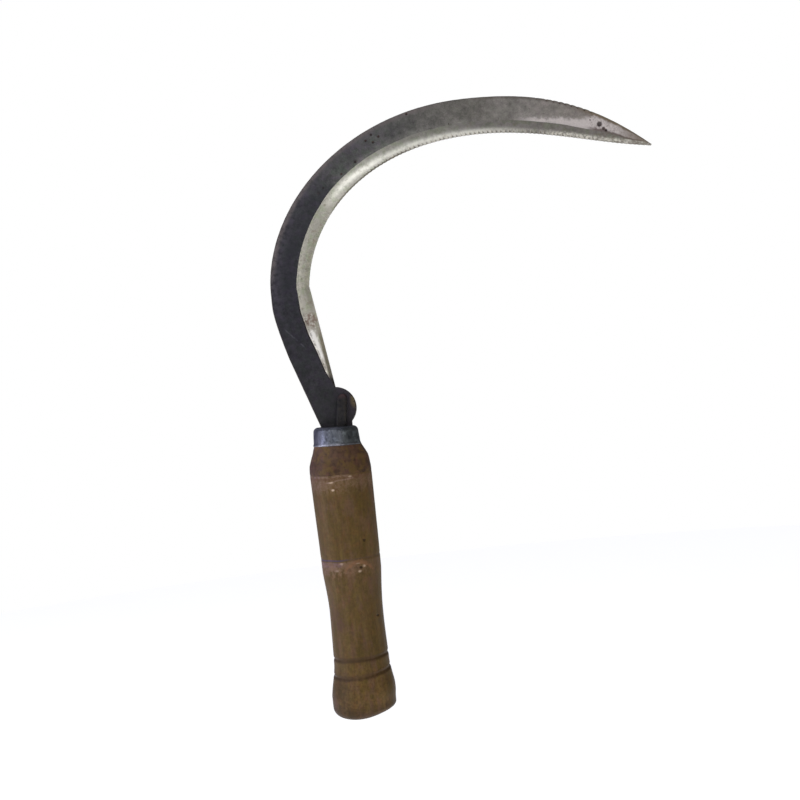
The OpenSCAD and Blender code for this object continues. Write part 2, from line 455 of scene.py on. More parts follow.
def scale_tones(n, along, across, cloud, patches, grain):
    """The body's tone along the blade, partly the scale's own tone and partly painted reflection that
    brightens towards the tip, with the cloudy and grainy look of scale.
    """
    # Tone along the blade: partly real scale worn to bare steel, partly painted reflection growing towards
    # the tip
    n.base = n.tones(n.wander(along, cloud, 0.09), [
        (0.0, (49, 48, 50)), (0.25, (52, 51, 57)), (0.405, (60, 60, 64)), (0.446, (80, 80, 79)),
        (0.53, (84, 84, 83)), (0.58, (92, 91, 88)), (0.69, (112, 109, 103)), (0.785, (130, 126, 121)),
        (1.0, (136, 128, 121))])
    # Paler beside the bevel on the way to the crown
    n.stain((134, 132, 126), (across, 0.3, 0.02), n.band(along, 0.5, 0.66, 0.08), 0.35)
    n.shade(cloud, 0.8, 1.18)
    n.shade(patches, 0.74, 1.28)
    n.shade(grain, 0.8, 1.2)
    # Faint green and purple hues
    hue = n.noise(0.3, 4, 0.6, n.place(turn=(0.4, 0, 0.7)))
    hued = n.between(along, 0.62, 0.48, 0.15, 0.8)
    n.tint((0.9, 1.02, 0.9), (hue, 0.5, 0.62), hued)
    n.tint((1.06, 0.95, 1.12), (hue, 0.49, 0.37), hued)


def scale_patches(n, along, across, cloud, patches):
    """Darker, paler and browned areas of the body, with a painted highlight along the spine and a partly
    painted highlight on the ear's edge.
    """
    # Dark clouds on the ricasso and the rise
    n.stain((37, 38, 43), (cloud, 0.44, 0.58), n.band(along, 0.16, 0.38, 0.06), (across, 0.8, 0.4), 0.5)
    # Paler towards the spine on the rise
    n.stain((84, 79, 88), (across, 0.45, 0.85), n.band(along, 0.24, 0.5, 0.06), (patches, 0.35, 0.6), 0.4)
    # Dark lip beside the ricasso's bevel
    n.stain((36, 29, 26), (across, 0.09, 0.02), n.band(along, 0.1, 0.22, 0.02), (patches, 0.42, 0.55), 0.7)
    # Heel's purple edge, and the ear's yellowish one, partly rust and partly painted highlight
    n.stain((58, 51, 58), (along, 0.075, 0.06), (across, 0.3, 0.12), 0.5)
    n.stain((112, 98, 68), n.blob(10.4, FERRULE_TOP + 12.5, 2.4, 5, 0.2), (patches, 0.36, 0.52), 0.75)
    # Painted highlight along the spine on the rise, then browned along the spine further on
    n.stain((112, 104, 103), (across, 0.78, 0.96), n.band(along, 0.3, 0.62, 0.06),
            (patches, 0.35, 0.6, 0.4, 0.8))
    n.stain((88, 80, 72), (across, 0.86, 0.97), n.band(along, 0.74, 0.86, 0.05), 0.55)
    n.stain((112, 98, 78), (across, 0.7, 0.9), (along, 0.86, 0.92), 0.85)


def tip_wear_and_highlight(n, along, across, cloud, patches, grain):
    """Bare pale steel beside the edge, widening to the tip, partly real wear and partly painted highlight,
    with scratches and a dark crack.
    """
    reach = n.levels(along, [(0.75, 0.1), (0.8, 0.17), (0.87, 0.36), (0.91, 0.8)])
    worn = n.between(n.maths("SUBTRACT", n.wander(across, patches, 0.5), reach), 0.1, -0.12)
    # Pale steel beside the edge: partly real wear, partly painted highlight
    bare_steel_and_highlight = n.shaded(srgb(206, 198, 195), grain, 0.88, 1.08)
    n.stain(bare_steel_and_highlight, worn, (along, 0.75, 0.8), (cloud, 0.35, 0.5, 0.75, 1), 0.9)
    near_tip = n.between(along, 0.88, 0.9)
    n.stain((104, 84, 76), n.lines(n.noise(0.35, 3, 0.6), 0.5, 0.022), near_tip, (across, 0.85, 0.7), 0.6)
    n.stain((84, 68, 62), (n.wander(across, patches, 0.3), 0.2, 0.07), near_tip, 0.8)
    n.stain((110, 97, 82), (along, 0.93, 0.985, 0, 0.8))


def scale_marks(n, patches):
    """A slanting scratch on the front of the ricasso, dark specks, and rust in the pits."""
    x, y, z = n.parts(n.spot)
    off_line = n.maths("ADD", n.times(x, 0.736), n.times(z, 0.677))
    n.stain((84, 86, 92), n.band(off_line, 71.8, 72.1, 0.3), n.band(x, -19, -12, 1.5),
            (y, FRONT_Y + 0.8, FRONT_Y + 0.3), (patches, 0.4, 0.55), 0.5)
    cells = n.add("TexVoronoi", {"Vector": n.spot, "Scale": 0.45}).outputs["Distance"]
    n.stain((34, 30, 28), (cells, 0.11, 0.03), (patches, 0.5, 0.58), 0.5)
    rust = n.over(srgb(36, 27, 27), (62, 42, 34), (n.noise(0.9, 3), 0.45, 0.6))
    n.stain(rust, (n.value("pit"), 0.03, 0.75, 0, 0.88))


def ground_steel():
    """Bevel: ground steel with a painted highlight streak, teeth, a dark strip beside the plain edge that is
    partly painted shade, and stains.
    """
    n = Paint("ground_steel")
    along = n.value("along")
    across = n.value("across")
    from_edge = n.value("from_edge")
    patches = n.noise(0.4, 4, 0.62)
    grain = n.noise(1.5, 4, 0.7)
    bevel_tones(n, along, from_edge, patches, grain)
    painted_highlight_streak(n, along, from_edge, patches)
    # Pale line beside the body
    n.stain((196, 196, 188), (across, 0.86, 0.97), n.band(along, 0.1, 0.4, 0.08), 0.5)
    toothed_edge(n, along, from_edge, patches)
    plain_edge(n, along, across, from_edge, patches, grain)
    bevel_stains(n, along, across, from_edge, patches, grain)
    return n.finish(Metallic=0.6, Roughness=n.between(patches, 0.3, 0.7, 0.32, 0.5),
                    Normal=n.bump(grain, 0.4, 0.04))


def bevel_tones(n, along, from_edge, patches, grain):
    """The bevel's tone along the blade, partly the ground steel's own and partly painted reflection, uneven,
    faintly green, and paler beside the body on the rise.
    """
    # Tone along the blade: partly the ground steel's own, partly painted reflection
    n.base = n.tones(along, [
        (0.1, (176, 170, 162)), (0.2, (166, 162, 152)), (0.25, (154, 152, 142)), (0.36, (156, 154, 145)),
        (0.42, (180, 178, 168)), (0.5, (160, 158, 150)), (0.56, (134, 132, 125)), (0.69, (114, 110, 107)),
        (1.0, (112, 107, 101))])
    n.shade(patches, 0.78, 1.16)
    n.shade(grain, 0.82, 1.14)
    n.tint((0.88, 0.98, 0.82), (n.noise(0.3, 4, 0.6), 0.46, 0.6, 0, 0.8))
    n.stain((196, 192, 184), (along, 0.4, 0.25), (from_edge, 3.5, 5.0), 0.35)


def painted_highlight_streak(n, along, from_edge, patches):
    """Painted highlight: a bright streak that crosses the bevel from the body to the edge as the blade
    curves.
    """
    middle = n.levels(along, [(0.446, 0.8), (0.488, 0.6), (0.533, 0.48), (0.58, 0.42), (0.631, 0.3),
                              (0.686, 0.22)])
    share = n.levels(along, [(0.39, 0), (0.44, 1), (0.49, 0.95), (0.53, 0.6), (0.69, 0.5), (0.73, 0.25),
                             (0.79, 0)])
    off = n.maths("DIVIDE", n.maths("SUBTRACT", from_edge, n.times(middle, STREAK_REACH)), STREAK_HALF)
    streak = n.maths("EXPONENT", n.times(off, off, -1))
    n.stain((252, 251, 240), streak, share, (patches, 0.3, 0.6, 0.7, 1.1))


def toothed_edge(n, along, from_edge, patches):
    """Freshly cut pale steel at the teeth, a dark strip of painted shade along the edge, and darker tooth
    grooves.
    """
    fresh = n.levels(along, [(0.5, 0), (0.55, 0.45), (0.69, 0.7), (0.75, 0.45), (0.8, 0.35), (0.84, 1),
                             (0.93, 0.8), (1.0, 0.35)])
    n.stain((214, 210, 198), (n.wander(from_edge, patches, 2.4), 3.0, 0.8), fresh,
            (n.noise(0.9, 2), 0.36, 0.6, 0.3, 1))
    # Painted shade: a dark strip along the edge on the rise
    n.stain((92, 86, 72), (from_edge, 0.95, 0.4), n.band(along, 0.41, 0.55, 0.03), 0.75)
    # Darker in the deep part of the tooth grooves
    n.stain((84, 77, 66), (n.value("groove"), 0.2, 0.75), (along, 0.38, 0.5, 0.35, 0.85))


def plain_edge(n, along, across, from_edge, patches, grain):
    """Dark strip beside the ricasso's edge, partly the blunt facet's own dark and partly painted shade, and
    the bright, blotchy bevel above it.
    """
    # Brown strip on the ricasso's blunt edge facet: partly its own dark, partly painted shade
    brown = n.tones(along, [(0.088, (64, 60, 50)), (0.13, (90, 84, 68)), (0.16, (112, 106, 88))])
    n.stain(n.shaded(brown, grain, 0.8, 1.2), (from_edge, 1.9, 1.3), (along, 0.19, 0.155), 0.85)
    n.stain((50, 47, 45), (along, 0.096, 0.082))
    n.stain((228, 224, 218), (along, *PLAIN_END), (n.noise(0.3, 3), 0.47, 0.56), (from_edge, 1.8, 2.4), 0.75)
    n.stain((240, 238, 234), n.band(across, 0.6, 0.82, 0.2), n.band(along, 0.13, 0.167, 0.014),
            (patches, 0.34, 0.5, 0.5, 0.9))


def bevel_stains(n, along, across, from_edge, patches, grain):
    """Stains and bright spots over the bevel."""
    # Brown blotch and bright spot on the ricasso's bevel
    n.stain((116, 92, 82), n.blob(-6.6, 131.4, 4.4, 4.6), (n.noise(0.8, 4), 0.42, 0.56), 0.8)
    n.stain((238, 235, 232), n.blob(-6.6, 123.8, 1.8, 3.4), (grain, 0.35, 0.55), 0.9)
    # Dull band beside the teeth, low on the rise
    n.stain((124, 121, 108), n.band(from_edge, 1.0, 2.0, 0.9), (along, 0.42, 0.3), (along, 0.2, 0.23), 0.5)
    # Ragged dark patches beside the body
    n.stain((66, 65, 62), (across, 0.8, 0.97), n.band(along, 0.22, 0.4, 0.04), (patches, 0.47, 0.57), 0.7)
    n.stain((84, 74, 66), (across, 0.72, 0.92), (along, *PLAIN_END), (patches, 0.46, 0.56), 0.7)
    # Brown stains everywhere, and rust at the tip
    n.stain((112, 98, 82), (n.noise(0.45, 5, 0.7), 0.55, 0.66), (along, 0.5, 0.3, 0.25, 0.5))
    n.stain((92, 80, 68), (along, 0.88, 0.94), (n.noise(0.7, 4), 0.45, 0.58), 0.5)


def spine_steel():
    """Thin edges of the plate: dark, rubbed brownish."""
    n = Paint("spine_steel")
    n.base = n.tones(n.noise(0.7, 4), [(0.3, (40, 36, 34)), (0.7, (92, 82, 72))])
    return n.finish(Metallic=0.6, Roughness=0.5, Normal=n.bump(n.noise(2, 3), 0.3, 0.03))


def tang_steel():
    """Tang: dark forged bar with a faint purple-brown heat tint at its top."""
    n = Paint("heat_tinted_steel")
    n.base = n.tones(n.noise(0.4, 4), [(0.35, (33, 32, 34)), (0.5, (43, 41, 42)), (0.65, (52, 48, 44))])
    n.stain((74, 50, 54), (n.value("rise"), 0.8, 1.0, 0, 0.6))
    grain = n.noise(1.8, 4)
    n.shade(grain, 0.82, 1.16)
    return n.finish(Metallic=0.4, Roughness=0.55, Specular_IOR_Level=0.25, Normal=n.bump(grain, 0.5, 0.08))


# ---------------- zinc of the ferrule

def dull_zinc():
    """Ferrule: drawn metal with a dull, mottled zinc coat, painted highlights on its rims and left of the
    middle, painted light and shade from side to side, and dirt.
    """
    n = Paint("dull_zinc")
    x = n.parts(n.spot)[0]
    spangle = n.add("TexVoronoi", {"Vector": n.place(0.7), "Scale": 0.55}).outputs["Color"]
    tone = n.add("RGBToBW", {"Color": spangle}).outputs[0]
    n.base = n.tones(tone, [(0.1, (78, 82, 92)), (0.9, (104, 108, 116))])
    n.shade(n.drawn(0.25, 0.45, 4), 0.84, 1.14)
    # Rubbed patches, and a painted highlight left of the middle
    n.stain((140, 147, 160), (n.noise(0.4, 4, 0.6), 0.52, 0.66), 0.5)
    n.stain((168, 172, 190), n.blob(-6.2, 70.5, 4.4, 3.4, 0.1), (n.noise(0.6, 4), 0.36, 0.6), 0.3)
    # Painted light and shade: a cool violet cast on the left, darker at its left edge, and darker, yellower
    # shade on the right
    drift = n.noise(0.3, 3)
    n.tint((1.0, 0.9, 1.02), (n.wander(x, drift, 6), 0, -11))
    n.tint((0.66, 0.6, 0.68), (x, -8, -12, 0, 0.8))
    n.tint((0.72, 0.76, 0.6), (n.wander(x, drift, 8), 1, 6, 0.1, 0.6))
    # Painted highlights on the rims, then dirt over everything
    n.stain((198, 196, 210), n.value("rim"), (x, 9, -1, 0.3, 1), (x, -11, -8, 0.3, 1),
            (n.noise(0.5, 3), 0.36, 0.54, 0.35, 1), 0.85)
    n.stain((54, 55, 52), (n.noise(0.5, 5, 0.7), 0.52, 0.68, 0, 0.65))
    height = n.maths("ADD", n.drawn(0.25, 0.6, 3), n.noise(2.5, 3))
    return n.finish(Metallic=0.8, Roughness=n.between(tone, 0, 1, 0.34, 0.5),
                    Normal=n.bump(height, 0.4, 0.1))


# ---------------- wood of the handle

def cane_wood():
    """Handle: bamboo-like wood under a thin lacquer, with long fibres, node rings, flecks and specks, and
    painted light and shade on its sides and under the ferrule.
    """
    n = Paint("cane_wood")
    x, y, z = n.parts(n.spot)
    front = n.between(y, 0, -3)
    fibre = n.drawn(0.06, 1.1, 4, 0.65)
    blush = n.drawn(0.35, 0.24, 4, 0.6)
    cloud = n.drawn(0.5, 0.16, 4)
    mottle = n.drawn(0.7, 0.5, 4, 0.6)
    small = n.noise(0.8, 4, 0.6)
    wood_tones(n, fibre, blush, cloud, mottle, small)
    wood_under_cup(n, z, front, mottle, small)
    upper_ring(n, x, front, cloud, mottle, small)
    lower_ring(n, x, front, mottle, small)
    wood_marks(n, front, mottle)
    wood_sides(n, x, z, blush, mottle, small)
    height = n.maths("ADD", fibre, n.times(small, 0.6))
    return n.finish(Roughness=n.between(mottle, 0.3, 0.7, 0.45, 0.62), Specular_IOR_Level=0.12,
                    Coat_Weight=0.06, Coat_Roughness=0.4, Normal=n.bump(height, 0.5, 0.1))


def wood_tones(n, fibre, blush, cloud, mottle, small):
    """Olive-brown ground with reddish and yellowish areas, fibres and mottling."""
    streak = n.drawn(0.14, 0.3, 3)
    n.base = n.tones(streak, [(0.35, (84, 66, 30)), (0.5, (91, 70, 37)), (0.65, (97, 77, 44))])
    n.stain((100, 74, 58), (blush, 0.48, 0.66, 0, 0.55))
    n.stain((92, 72, 32), (blush, 0.46, 0.34, 0, 0.4))
    n.shade(fibre, 0.9, 1.08)
    n.shade(cloud, 0.9, 1.08)
    n.shade(mottle, 0.84, 1.1)
    n.shade(small, 0.86, 1.12)
    warm = n.noise(0.35, 4, 0.65, n.place(turn=(2, 0, 1)))
    n.tint((1.14, 0.95, 0.94), (warm, 0.5, 0.66, 0, 0.6))
    n.tint((0.96, 1.03, 0.74), (warm, 0.48, 0.34, 0, 0.6))


def wood_under_cup(n, z, front, mottle, small):
    """Darker wood above the upper ring, with painted light just under the ferrule and two dark spots."""
    dark = n.tones(mottle, [(0.32, (60, 42, 32)), (0.45, (76, 56, 43)), (0.6, (84, 62, 46)),
                            (0.72, (92, 72, 46))])
    dark = n.over(dark, (95, 74, 38), (n.noise(0.2, 4), 0.46, 0.62, 0, 0.7))
    reddish = n.noise(0.3, 4, place=n.place(turn=(1, 2, 3)))
    dark = n.over(dark, (92, 60, 50), (reddish, 0.5, 0.66, 0, 0.5))
    sooty = n.noise(0.4, 4, place=n.place(turn=(3, 1, 2)))
    dark = n.over(dark, (54, 38, 28), (sooty, 0.56, 0.66, 0, 0.5))
    dark = n.shaded(dark, small, 0.92, 1.08)
    # Painted light just under the ferrule, lifting the shade its rim casts
    dark = n.mix(n.between(z, 59.5, 62.5), dark, (1.24, 1.27, 1.38, 1), "MULTIPLY")
    n.stain(dark, (n.value("upper"), -0.1, 0.6), 0.92)
    n.stain((50, 34, 26), n.blob(-0.9, 55.8, 2.2, 1.3), front, 0.6)
    n.stain((44, 30, 22), n.blob(11.9, 54.6, 1.5, 1.0), front, 0.5)


def upper_ring(n, x, front, cloud, mottle, small):
    """Upper node ring: a pale line over a reddish one, a second line, curls and pale flecks below."""
    upper = n.value("upper")
    pale = (138, 112, 98)
    n.stain((124, 98, 82), (n.wander(upper, mottle, 16), -9, -4), (upper, 0, -1),
            (small, 0.4, 0.6, 0.15, 0.42))
    n.stain((92, 62, 44), n.band(upper, -1.7, -0.7, 0.7), 0.4)
    n.stain(pale, n.band(upper, -0.5, 0, 0.5), (small, 0.38, 0.58, 0.1, 0.7), (x, 7, 3, 0.1, 0.7))
    second = n.maths("ADD", upper, n.maths("ADD", n.times(x, -0.12), 2.4))
    n.stain(pale, n.band(second, -0.15, 0.15, 0.4), n.band(x, -6, 6, 2), front,
            (small, 0.35, 0.55, 0.3, 0.8), 0.75)
    n.stain((140, 114, 92), n.lines(mottle, 0.52, 0.014), n.band(upper, -8, -1, 1.5),
            (cloud, 0.46, 0.52, 0.15, 0.6))
    broken = n.between(small, 0.36, 0.5, 0.35, 1)
    for at_x, at_z, half_x, half_z, strength in PALE_FLECKS:
        fleck = n.blob(at_x, at_z, half_x, half_z, 0.15)
        n.stain((208, 184, 160), fleck, front, broken, strength)


def lower_ring(n, x, front, mottle, small):
    """Lower node ring: a violet line with a bruise and a paler area below, a brown arc and a dark spot."""
    lower = n.value("lower")
    n.stain((75, 64, 84), n.band(lower, -0.15, 0.15, 0.5), (x, 2, -4, 0.12, 0.7))
    n.stain((106, 82, 100), n.band(lower, -2.6, -1.6, 1.2), (x, -1, -5), (mottle, 0.4, 0.55, 0.15, 0.5))
    n.stain((130, 102, 84), (n.wander(lower, mottle, 14), -9, -4), (lower, -0.4, -1.4),
            (x, 11, -8, 0.3, 0.8), (small, 0.38, 0.6, 0.3, 0.8))
    off = n.maths("SUBTRACT", x, 4.5)
    arc = n.maths("ADD", lower, n.maths("ADD", 1.4, n.times(off, off, 0.09)))
    n.stain((130, 92, 64), n.band(n.wander(arc, small, 5), -0.6, 0.4, 0.9), n.band(x, -1, 10, 2), front,
            (mottle, 0.38, 0.55, 0.3, 0.7), 0.8)
    n.stain((46, 32, 20), n.blob(5.4, 8.0, 0.9, 0.8, 0.3), front, 0.65)


def wood_marks(n, front, mottle):
    """A bruise at the waist, darker scribed grooves and dark specks."""
    n.stain((80, 56, 48), n.blob(-7.5, -18, 5, 10, 0.2), front, (mottle, 0.4, 0.58), 0.6)
    # Darker in the scribed grooves
    n.stain((62, 44, 28), (n.value("scribe"), 0.1, 0.7, 0, 0.6))
    n.stain((42, 27, 8), (n.value("speck"), 0.1, 0.6, 0, 0.75))


def wood_sides(n, x, z, blush, mottle, small):
    """Slow changes of tone: a brighter bead, a dark butt, painted shade on the edge side, painted cool light
    on the back side, and painted shade on the back side of the bead.
    """
    n.tint((1.24, 1.23, 1.2), n.band(z, -58, -42, 4), n.band(x, -2, 8, 8), (small, 0.36, 0.6, 0.4, 1))
    n.tint((0.58, 0.55, 0.58), (n.wander(z, mottle, 8), -56, -65))
    # Painted shade on the edge side, low down
    n.tint((0.76, 0.72, 0.6), (x, 9, 13, 0, 0.6), (z, 8, -4))
    uneven = n.wander(x, blush, 16)
    # Painted cool light on the back side
    n.tint((1.02, 1.02, 1.4), (uneven, -5, -14), (mottle, 0.36, 0.56, 0.6, 1))
    # Painted shade on the back side of the bead
    n.tint((0.74, 0.7, 0.68), (uneven, 3, -12), (z, -42, -52), (small, 0.36, 0.6, 1, 0.5))


# ---------------- blade

def back_beside(height):
    """Point of the back at a height on the heel or the ricasso."""
    if height < STRAIGHT_TOP:
        return np.array([HEEL_LEFT + BACK_SLOPE * height, height])
    return bezier(BACK_LOW, (height - STRAIGHT_TOP) / (CORNER[1] - STRAIGHT_TOP))


def edge_at(u):
    """Point of the toothed edge, with u from 0 at the corner over 1 at the crown to 2 at the tip."""
    return bezier(EDGE_RISE, u) if u < 1 else bezier(EDGE_FALL, u - 1)


def back_at(u):
    """Point of the back opposite the same place of the toothed edge."""
    return bezier(BACK_RISE, u) if u < 1 else bezier(BACK_FALL, u - 1)


def heel_edge():
    """Points of the edge side up the heel and round the ear."""
    foot = np.array([HEEL_RIGHT, 0.0])
    ear = [EAR_CENTRE + EAR_R * unit(a) for a in np.radians(np.linspace(EAR_FROM, EAR_TO, EAR_STEPS))]
    return [foot + (ear[0] - foot) * i / BASE_STEPS for i in range(BASE_STEPS)] + ear


def tooth_cuts():
    """Distances along the toothed edge, even over each tooth, and their places on the curve."""
    samples = np.linspace(0, 2, CURVE_SAMPLES)
    path = np.array([edge_at(u) for u in samples])
    run = np.concatenate([[0], np.cumsum(np.linalg.norm(np.diff(path, axis=0), axis=1))])
    teeth = round(run[-1] / TOOTH_PITCH)
    cuts = np.linspace(0, run[-1], teeth * STATIONS_PER_TOOTH + 1)[1:]
    return cuts, np.interp(cuts, run, samples)


def blade_stations():
    """Stations from the base to the tip, each with its edge and back points and its section's sizes."""
    heel = heel_edge()
    notch = heel[-1]
    plain = heel + [notch + (CORNER - notch) * i / RICASSO_STEPS for i in range(1, RICASSO_STEPS + 1)]
    cuts, places = tooth_cuts()
    edges = plain + [edge_at(u) for u in places]
    backs = [back_beside(p[1]) for p in plain] + [back_at(u) for u in places]
    total = CORNER[1] + cuts[-1]

    stations = []
    for i, (edge, back) in enumerate(zip(edges, backs)):
        on_curve = i - len(plain)
        u, run = (places[on_curve], cuts[on_curve]) if on_curve >= 0 else (0, edge[1] - CORNER[1])
        thick = BLADE_T + (TIP_T - BLADE_T) * u / 2
        if i < len(heel):
            bevel, land = EAR_BREAK, thick - EAR_BREAK
        elif on_curve < 0:
            nearby = np.linspace(edge[1] - 2, edge[1] + 2, 5)
            bevel = np.mean(np.interp(nearby, *zip(*PLAIN_WIDTHS)))
            land = np.interp(edge[1], [notch[1], 26, CORNER[1]], [thick - EAR_BREAK, 1.4, EDGE_T])
        else:
            bevel, land = np.interp(u, *zip(*BEVEL_WIDTHS)), EDGE_T
        ahead = edges[min(i + 1, len(edges) - 1)] - edges[max(i - 1, 0)]
        across = np.array([-ahead[1], ahead[0]]) / np.linalg.norm(ahead) if i else np.array([-1.0, 0.0])
        width = np.linalg.norm(back - edge)
        stations.append({
            "edge": edge, "back": back, "across": across, "thick": thick, "u": u, "heel": i < len(heel),
            "bevel": min(bevel * (1 + 0.03 * wave(1, run / 9)), 0.45 * width), "land": land,
            "run": run, "along": (CORNER[1] + run) / total, "width": width})
    return stations


def marks_at(x, height, marks):
    """Depth of the round marks at a point, and how far into one it is from 0 to 1."""
    depth, inside = 0.0, 0.0
    for cx, ch, radius, deep in marks:
        q = ((x - cx) ** 2 + (height - ch) ** 2) / radius ** 2
        if q < 1:
            depth = max(depth, deep * (1 - q) ** 1.5)
            inside = max(inside, (1 - q) * min(1, 0.25 + 6 * deep))
    return depth, inside


def scattered_marks():
    """Small pits over the front face of the blade's body."""
    draw = random.Random(11)
    marks = []
    for _ in range(20):
        u = draw.uniform(-0.55, 1.92)
        share = draw.uniform(0.12, 0.95)
        if u < 0:
            height = CORNER[1] * (1 + u)
            edge, back = np.array([2.0 - 0.1 * height, height]), back_beside(height)
        else:
            edge, back = edge_at(u), back_at(u)
        place = edge + (back - edge) * (0.42 + 0.55 * share)
        marks.append((place[0], place[1], draw.uniform(0.35, 0.55), draw.uniform(0.02, 0.05)))
    return marks


def tooth(run, distance):
    """Depth from 0 to 1 of the raked tooth grooves, at a distance from the edge."""
    place = (run + TOOTH_RAKE * distance) / TOOTH_PITCH
    phase = (place + 0.12 * wave(21, place / 1.7)) % 1
    strength = 0.78 + 0.34 * wave(22, round(place - phase) * 0.83)
    return strength * np.interp(phase, [0, TOOTH_RISE, 1], [1, 0, 1])


def spine_nick(x):
    """Depth of the nicks in the falling part of the spine."""
    return max(deep * max(0, 1 - abs(x - at) / NICK_HALF) for at, deep in SPINE_NICKS)


def blade_ring(station, marks):
    """Section at a station, round from the lip, as (x, y, height, across, from_edge, pit, groove)."""
    edge, across, run = station["edge"], station["across"], station["run"]
    bevel, thick, width = station["bevel"], station["thick"], station["width"]
    front = BACK_Y - thick
    toothed = 0 if station["heel"] or run < 0 else 0.3 + 0.7 * smooth(30, 75, run)
    shoulder = edge + bevel * across
    inward = edge - station["back"]
    inward = inward / max(np.linalg.norm(inward), 1e-6)
    nick = spine_nick(station["back"][0]) if station["u"] > 1 else 0
    rough = 0.05 * (1 + wave(2, station["back"][0] / 2.5, station["back"][1] / 2.5))
    back = station["back"] + inward * min(nick + rough, 0.3 * width)
    lip = edge + min(TOOTH_NOTCH, 0.12 * width) * tooth(run, 0) * toothed * across

    rows = []

    def put(place, y, share, distance, pit=0.0, groove=0.0):
        rows.append((place[0], y, place[1], share, distance, pit, groove))

    for i in range(BACK_COLUMNS):
        share = i / BACK_COLUMNS
        place = lip + (back - lip) * share
        hollow = 0.02 * (1 + wave(3, place[0] / 6, place[1] / 6)) * min(1, share * 6)
        put(place, BACK_Y - hollow, share, share * width)
    spine = min(SPINE_ROUND, thick / 2, 0.2 * width)
    arc = [unit(math.radians(90 * i / (SPINE_COLUMNS - 1))) for i in range(SPINE_COLUMNS)]
    for c, s in arc:
        put(back + inward * spine * (1 - s), BACK_Y - spine * (1 - c), 1, width)
    for c, s in arc:
        put(back + inward * spine * (1 - c), front + spine * (1 - s), 1, width)
    body_from = back + inward * spine
    for i in range(1, BODY_COLUMNS + 1):
        share = 1 - i / BODY_COLUMNS
        place = shoulder + (body_from - shoulder) * share
        uneven = 0.03 * (1 + wave(4, place[0] / 11, place[1] / 11))
        uneven += 0.012 * (1 + wave(5, place[0] / 3, place[1] / 3))
        deep, inside = marks_at(place[0], place[1], marks)
        inside = max(inside, min(1, 4 * nick) * smooth(0, 0.7, 1.1 - (1 - share) * (width - bevel)))
        put(place, front + smooth(0, 0.08, share) * uneven + deep, share, bevel + share * (width - bevel),
            inside)
    lip_y = BACK_Y - station["land"]
    reach = max(min(TOOTH_REACH, 0.4 * bevel), 0.01)
    for i in range(1, BEVEL_COLUMNS + 1):
        share = (1 - i / BEVEL_COLUMNS) ** 1.25
        distance = share * bevel
        groove = tooth(run, distance) * max(0, 1 - distance / reach) ** 0.7 * toothed
        y = front * share + lip_y * (1 - share) + groove * min(TOOTH_CUT, 0.6 * station["land"])
        put(lip + (shoulder - lip) * share, y, share, distance, groove=groove)
    return rows


def blade_slots(stations, size):
    """Material slot of each face, and the column where the bevel meets the body."""
    body, spine, bevel = 0, 1, 2
    spine_from = BACK_COLUMNS
    spine_to = spine_from + 2 * SPINE_COLUMNS - 1
    bevel_from = spine_to + BODY_COLUMNS
    columns = [body] * size
    columns[spine_from:spine_to] = [spine] * (spine_to - spine_from)
    columns[bevel_from:] = [bevel] * (size - bevel_from)
    columns[-1] = spine
    heel_columns = [spine if slot == bevel else slot for slot in columns]
    slots = []
    for station in stations[:-1]:
        slots += heel_columns if station["heel"] else columns
    return slots + [body, body], bevel_from


def make_blade():
    stations = blade_stations()
    marks = TIP_PITS + SMITH_DOTS + BODY_PITS + SMUDGES + scattered_marks()
    rings = [blade_ring(s, marks) for s in stations]
    size = len(rings[0])
    points = [(p[0], p[1], p[2] + FERRULE_TOP) for ring in rings for p in ring]
    slots, bevel_from = blade_slots(stations, size)
    values = {"along": [s["along"] for s in stations for _ in range(size)]}
    values.update(point_values(rings, ["across", "from_edge", "pit", "groove"]))
    materials = [forged_scale(), spine_steel(), ground_steel()]
    piece = new_piece("blade_plate", points, skin_faces(len(rings), size), materials, slots, values)
    crisp = [i for i, s in enumerate(stations) if not BLENDED_FROM < s["along"] < BLENDED_TO]
    keep_shoulder_sharp(piece.data, crisp, size, bevel_from)
    return piece


def keep_shoulder_sharp(mesh, crisp, size, column):
    """The bevel meets the body in a crisp edge, except round the crown where it is blended."""
    wanted = {(i * size + column, (i + 1) * size + column) for i in crisp}
    attribute = mesh.attributes.get("sharp_edge") or mesh.attributes.new("sharp_edge", "BOOLEAN", "EDGE")
    for edge in mesh.edges:
        if tuple(sorted(edge.vertices)) in wanted:
            attribute.data[edge.index].value = True


# ---------------- tang

def box_ring(z, x, width, depth, corner, flare=0.0):
    """Ring of a rounded bar. A larger corner is squarer, and flare widens its back, as a weld does."""
    power = 2 / corner
    ring = []
    for i in range(TANG_AROUND):
        a = 2 * math.pi * (i + 0.5) / TANG_AROUND
        c, s = math.cos(a), math.sin(a)
        px = math.copysign(abs(c) ** power, c) * width / 2
        py = math.copysign(abs(s) ** power, s) * depth / 2
        px *= 1 + flare * smooth(0.3, 1.0, py / (depth / 2)) ** 2
        ring.append((x + px, py, z))
    return ring


def spike_size(z):
    """Offset along X and share of the bar's size at a height in the handle."""
    depth = FERRULE_TOP - z
    depths, offsets, shares = zip((0, LAP_X, 1), *SPIKE, (FERRULE_TOP - SPIKE_LOW, 0, SPIKE_END / TANG_W))
    return np.interp(depth, depths, offsets), np.interp(depth, depths, shares)


def lap_ring(h, share):
    """Ring of the welded lap, thinned towards its round top, with a weld fillet at the blade."""
    flare = 0.16 * smooth(0, 2, h)
    ring = box_ring(FERRULE_TOP + h, LAP_X + LAP_LEAN * h, TANG_W * share * 0.97, TANG_D, 5, flare)
    thin = LAP_THIN * smooth(5, LAP_H, h) ** 1.5
    return [(x, y + (thin + 0.06 * wave(6, x / 2, z / 3, y)) * (0.5 * TANG_D - y) / TANG_D, z)
            for x, y, z in ring]


